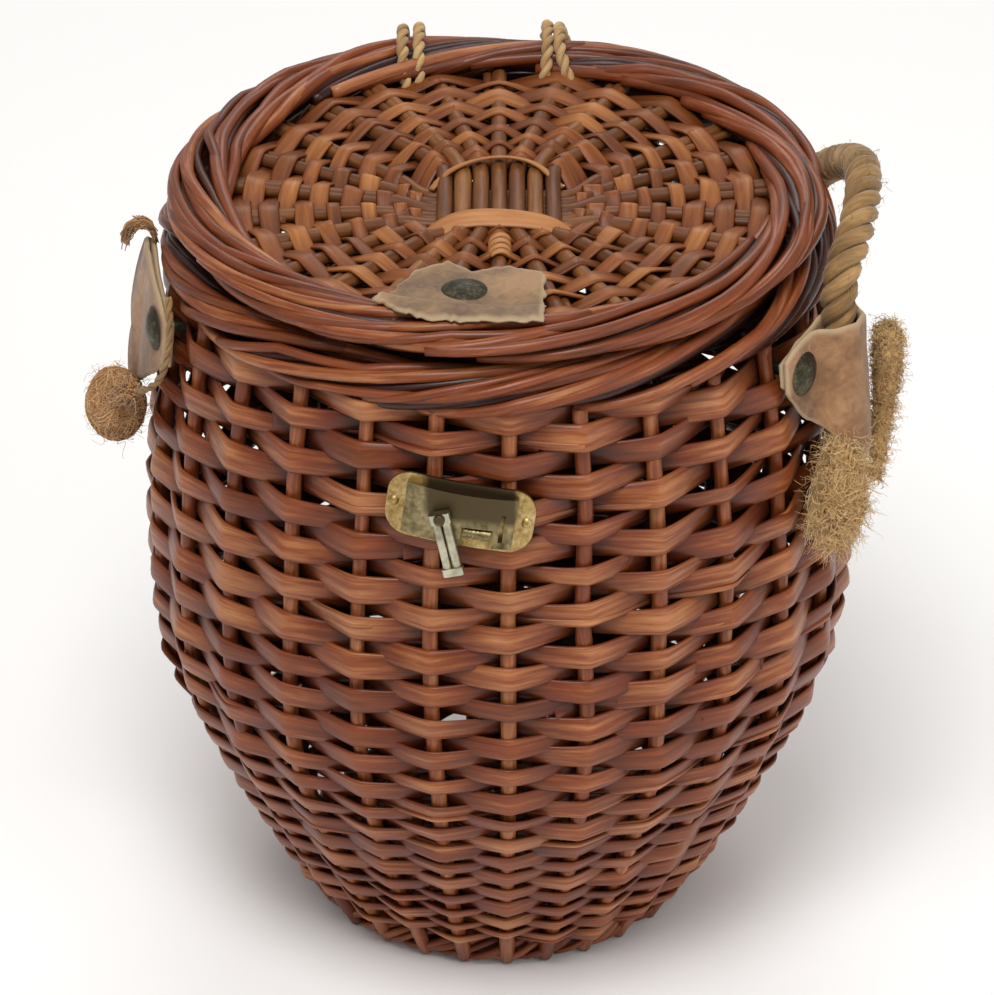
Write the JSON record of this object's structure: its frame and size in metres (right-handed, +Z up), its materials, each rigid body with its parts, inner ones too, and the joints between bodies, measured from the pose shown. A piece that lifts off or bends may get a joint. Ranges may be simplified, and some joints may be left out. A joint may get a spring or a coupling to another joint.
{
  "type": "wicker fishing creel",
  "caption": "Round pot-bellied wicker creel with a hinged woven lid, a rope handle in leather tabs and a turning toggle latch.",
  "frame": {"origin": "centre of the foot, on the floor", "axes": "+Z up; -Y towards the latch side; +X to the right as seen from the latch side"},
  "size_m": [0.3154, 0.3055, 0.328],
  "materials": {
    "willow": "glossy aged buff willow",
    "willow_sticks": "weathered willow rods",
    "willow_skein": "flat willow skein",
    "grass_cord": "twisted seagrass",
    "manila": "three-strand manila rope",
    "leather": "worn tan leather",
    "dark_rivet": "patinated domed rivet",
    "brass": "aged brass",
    "dark_brass": "patinated brass",
    "steel": "nickelled steel"
  },
  "bodies": {
    "basket": {"side_stakes": "willow", "foot_ring": "willow", "base_weave": "willow", "base_long_sticks": "willow_sticks", "base_cross_sticks": "willow_sticks", "wall_weave": "willow", "body_border": "willow", "hinge_loop_1": "grass_cord", "hinge_loop_2": "grass_cord", "hinge_loop_3": "grass_cord", "hinge_loop_4": "grass_cord", "right_tab": "leather", "left_tab": "leather", "right_tab_rivet": "dark_rivet", "left_tab_rivet": "dark_rivet", "right_tab_burr": "dark_rivet", "left_tab_burr": "dark_rivet", "latch_plate": "brass", "latch_rivets": "brass", "latch_burrs": "brass", "latch_housing": "dark_brass", "latch_roller": "dark_brass", "toggle_post": "dark_brass", "carry_rope": "manila", "rope_tassel": "manila", "rope_tuft": "manila", "rope_end_fray": "manila", "left_rope_stub": "manila", "left_rope_ball": "manila", "left_strand": "manila", "left_strand_flag": "manila"},
    "lid": {"lid_border": "willow", "lid_weave": "willow_skein", "lid_long_sticks": "willow_sticks", "lid_cross_sticks": "willow_sticks", "lid_bye_sticks": "willow_sticks", "hub_band_front": "willow_skein", "hub_band_back": "willow_skein", "strap_remnant": "leather", "strap_rivet": "dark_rivet", "strap_burr": "dark_rivet"},
    "toggle": {"toggle_tubes": "steel", "toggle_head": "steel", "toggle_end": "steel"}
  },
  "joints": [
    {"name": "lid_hinge", "type": "hinge", "parent": "basket", "child": "lid", "pos_m": [0, 0.127, 0.3033], "axis": [-1, 0, 0], "range_deg": [0, 110], "deforming": ["hinge_loop_1", "hinge_loop_2", "hinge_loop_3", "hinge_loop_4"]},
    {"name": "toggle_turn", "type": "hinge", "parent": "basket", "child": "toggle", "pos_m": [-0.0206, -0.13277, 0.25], "axis": [-0.1056, -0.9869, 0.1219], "range_deg": [-100, 75]}
  ]
}
